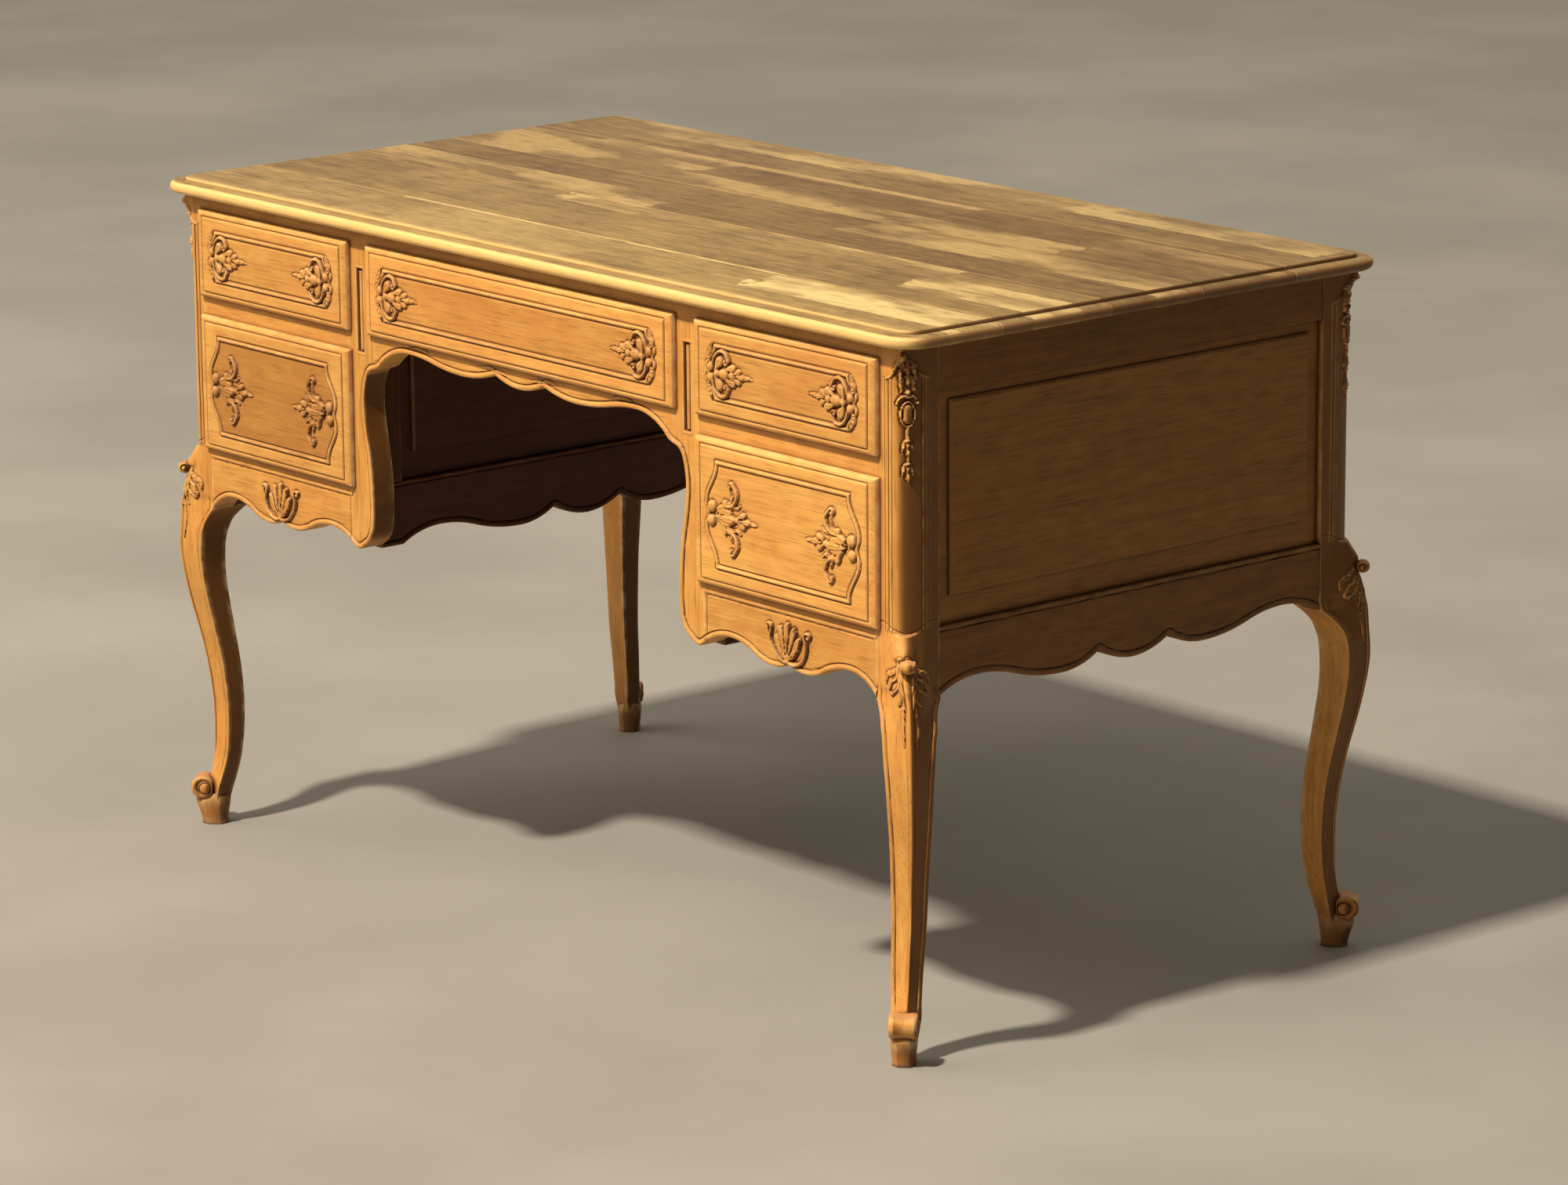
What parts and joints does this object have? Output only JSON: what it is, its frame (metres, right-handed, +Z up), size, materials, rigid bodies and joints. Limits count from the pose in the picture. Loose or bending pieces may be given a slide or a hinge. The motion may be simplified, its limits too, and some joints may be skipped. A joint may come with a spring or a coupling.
{
  "type": "writing desk",
  "caption": "Kneehole writing desk of carved oak with a moulded top, lipped drawers, scalloped aprons and cabriole legs on scroll feet.",
  "frame": {"origin": "bottom centre of the desk on the floor, under the middle of its top", "axes": "+X along the desk's length to the right of a person facing the drawers, -Y out of the drawer fronts, +Z up"},
  "size_m": [1.3, 0.689, 0.77],
  "materials": {
    "top_oak": "weathered, waxed oak",
    "case_oak": "washed oak, satin",
    "drawer_front_oak": "washed oak, satin",
    "inner_oak": "plain unfinished oak"
  },
  "bodies": {
    "case": {"back_apron_left": "case_oak", "back_apron_right": "case_oak", "back_centre_panel": "case_oak", "back_knee_rail": "case_oak", "back_panel_left": "case_oak", "back_panel_right": "case_oak", "back_post_left": "case_oak", "back_post_right": "case_oak", "back_stile_left": "case_oak", "back_stile_right": "case_oak", "back_top_rail": "case_oak", "drawer_divider_left": "case_oak", "drawer_divider_right": "case_oak", "drawer_guides": "inner_oak", "frieze_rail": "case_oak", "front_apron_left": "case_oak", "front_apron_right": "case_oak", "front_post_left": "case_oak", "front_post_right": "case_oak", "front_stile_left": "case_oak", "front_stile_right": "case_oak", "glue_blocks": "inner_oak", "kickers": "inner_oak", "kneehole_arch": "case_oak", "kneehole_panel_left": "case_oak", "kneehole_panel_right": "case_oak", "kneehole_side_apron_left": "case_oak", "kneehole_side_apron_right": "case_oak", "kneehole_top_rail_left": "case_oak", "kneehole_top_rail_right": "case_oak", "runners_centre": "inner_oak", "runners_left": "inner_oak", "runners_right": "inner_oak", "side_apron_left": "case_oak", "side_apron_right": "case_oak", "side_panel_left": "case_oak", "side_panel_right": "case_oak", "side_top_rail_left": "case_oak", "side_top_rail_right": "case_oak", "top_boards": "top_oak"},
    "upper_right_drawer": {"upper_right_drawer_back": "inner_oak", "upper_right_drawer_bottom": "inner_oak", "upper_right_drawer_front": "drawer_front_oak", "upper_right_drawer_sides": "inner_oak"},
    "upper_left_drawer": {"upper_left_drawer_back": "inner_oak", "upper_left_drawer_bottom": "inner_oak", "upper_left_drawer_front": "drawer_front_oak", "upper_left_drawer_sides": "inner_oak"},
    "lower_right_drawer": {"lower_right_drawer_back": "inner_oak", "lower_right_drawer_bottom": "inner_oak", "lower_right_drawer_front": "drawer_front_oak", "lower_right_drawer_sides": "inner_oak"},
    "lower_left_drawer": {"lower_left_drawer_back": "inner_oak", "lower_left_drawer_bottom": "inner_oak", "lower_left_drawer_front": "drawer_front_oak", "lower_left_drawer_sides": "inner_oak"},
    "centre_drawer": {"centre_drawer_back": "inner_oak", "centre_drawer_bottom": "inner_oak", "centre_drawer_front": "drawer_front_oak", "centre_drawer_sides": "inner_oak"}
  },
  "joints": [
    {"name": "upper_right_drawer_slide", "type": "slide", "parent": "case", "child": "upper_right_drawer", "axis": [0, -1, 0], "range_m": [0, 0.35]},
    {"name": "upper_left_drawer_slide", "type": "slide", "parent": "case", "child": "upper_left_drawer", "axis": [0, -1, 0], "range_m": [0, 0.35]},
    {"name": "lower_right_drawer_slide", "type": "slide", "parent": "case", "child": "lower_right_drawer", "axis": [0, -1, 0], "range_m": [0, 0.35]},
    {"name": "lower_left_drawer_slide", "type": "slide", "parent": "case", "child": "lower_left_drawer", "axis": [0, -1, 0], "range_m": [0, 0.35]},
    {"name": "centre_drawer_slide", "type": "slide", "parent": "case", "child": "centre_drawer", "axis": [0, -1, 0], "range_m": [0, 0.35]}
  ]
}
